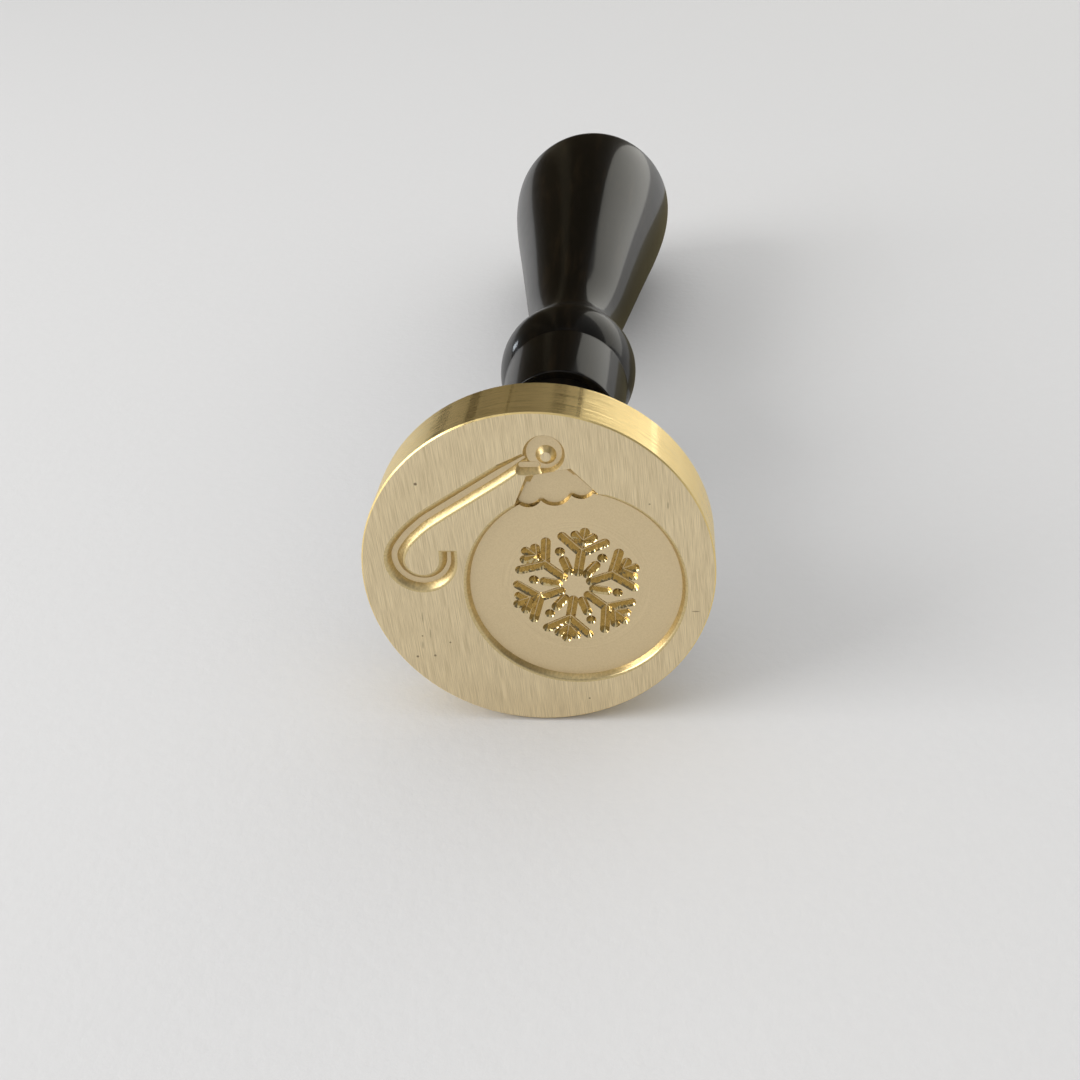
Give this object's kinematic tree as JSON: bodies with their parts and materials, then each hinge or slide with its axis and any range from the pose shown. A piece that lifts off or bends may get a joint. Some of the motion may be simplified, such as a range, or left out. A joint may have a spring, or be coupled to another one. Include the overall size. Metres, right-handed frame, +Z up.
{
  "type": "wax seal stamp",
  "caption": "Desk stamp for sealing wax: a round engraved brass die that screws onto a slim, black lacquered, turned wooden handle with a pear grip and a swollen collar.",
  "frame": {"origin": "centre of the engraved die's face, on the plane that presses the wax", "axes": "+Y along the stamp's axis from the die into the handle, +Z up as the stamp lies on its side with the design upright, +X to the right as seen facing the die"},
  "size_m": [0.025, 0.095, 0.025],
  "materials": {
    "brass": "brushed face, polished rim",
    "steel": "zinc plated",
    "black_lacquer": "gloss black lacquer"
  },
  "bodies": {
    "handle": {"handle": "black_lacquer"},
    "stud": {"threaded_stud": "steel"},
    "die": {"seal_head": "brass"}
  },
  "joints": [
    {"name": "head_turn", "type": "hinge", "parent": "handle", "child": "stud", "pos_m": [0, 0.005, 0], "axis": [0, -1, 0], "range_deg": [0, 1170]},
    {"name": "head_advance", "type": "slide", "parent": "stud", "child": "die", "axis": [0, -1, 0], "range_m": [0, 0.00325]}
  ],
  "couplings": [
    {"joint": "head_advance", "follows": "head_turn", "m_per_rad": 0.00015915}
  ]
}
